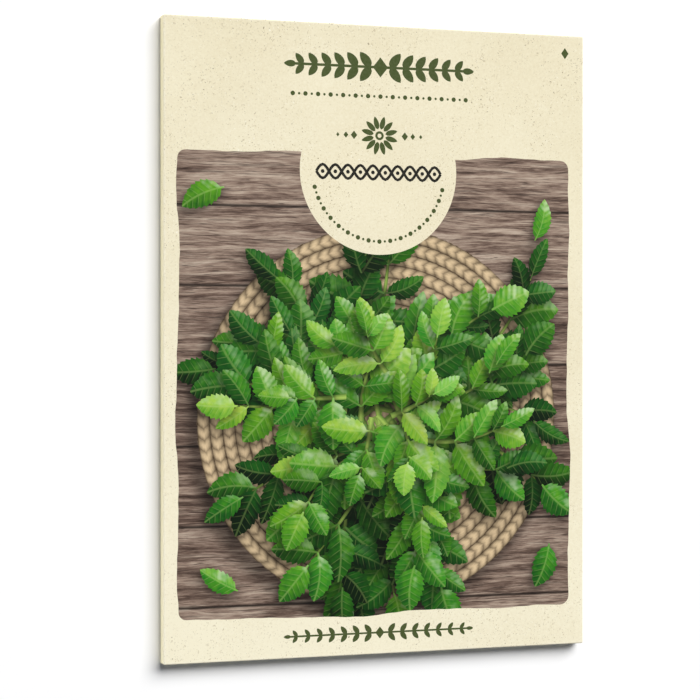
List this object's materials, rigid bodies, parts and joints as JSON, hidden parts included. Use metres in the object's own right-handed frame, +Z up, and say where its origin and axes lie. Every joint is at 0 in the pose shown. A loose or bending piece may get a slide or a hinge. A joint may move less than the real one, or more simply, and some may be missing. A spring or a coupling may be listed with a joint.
{
  "type": "paper seed packet",
  "caption": "Flat folded-paper seed packet, sealed with glued flaps at the back and a side seam, with loose seeds inside. Lies on its back, printed front up.",
  "frame": {"origin": "on the surface that the packet lies on, under the middle of its outline", "axes": "+Z up out of the printed front, +Y towards the top edge with the closing flap, +X to the right across the front"},
  "size_m": [0.081, 0.114, 0.0027],
  "materials": {
    "paper": "uncoated cream recycled paper with fine brown flecks, printed picture and ornament on the front",
    "glue": "dried clear-cream dispersion glue",
    "seed_husk": "dry ribbed grey-brown seed husk"
  },
  "bodies": {
    "root": {"front_panel": "paper", "back_panel": "paper", "left_side_fold": "paper", "right_side_fold": "paper", "side_seam_tab": "paper", "bottom_fold": "paper", "bottom_flap": "paper", "top_fold": "paper", "top_flap": "paper", "side_seam_glue": "glue", "bottom_flap_glue": "glue", "top_flap_glue": "glue", "seed_01": "seed_husk", "seed_02": "seed_husk", "seed_03": "seed_husk", "seed_04": "seed_husk", "seed_05": "seed_husk", "seed_06": "seed_husk", "seed_07": "seed_husk", "seed_08": "seed_husk", "seed_09": "seed_husk", "seed_10": "seed_husk", "seed_11": "seed_husk", "seed_12": "seed_husk", "seed_13": "seed_husk", "seed_14": "seed_husk", "seed_15": "seed_husk", "seed_16": "seed_husk", "seed_17": "seed_husk", "seed_18": "seed_husk", "seed_19": "seed_husk", "seed_20": "seed_husk", "seed_21": "seed_husk", "seed_22": "seed_husk", "seed_23": "seed_husk", "seed_24": "seed_husk", "seed_25": "seed_husk", "seed_26": "seed_husk", "seed_27": "seed_husk", "seed_28": "seed_husk", "seed_29": "seed_husk", "seed_30": "seed_husk", "seed_31": "seed_husk", "seed_32": "seed_husk", "seed_33": "seed_husk", "seed_34": "seed_husk", "seed_35": "seed_husk", "seed_36": "seed_husk", "seed_37": "seed_husk", "seed_38": "seed_husk", "seed_39": "seed_husk", "seed_40": "seed_husk", "seed_41": "seed_husk", "seed_42": "seed_husk", "seed_43": "seed_husk", "seed_44": "seed_husk"}
  },
  "joints": []
}
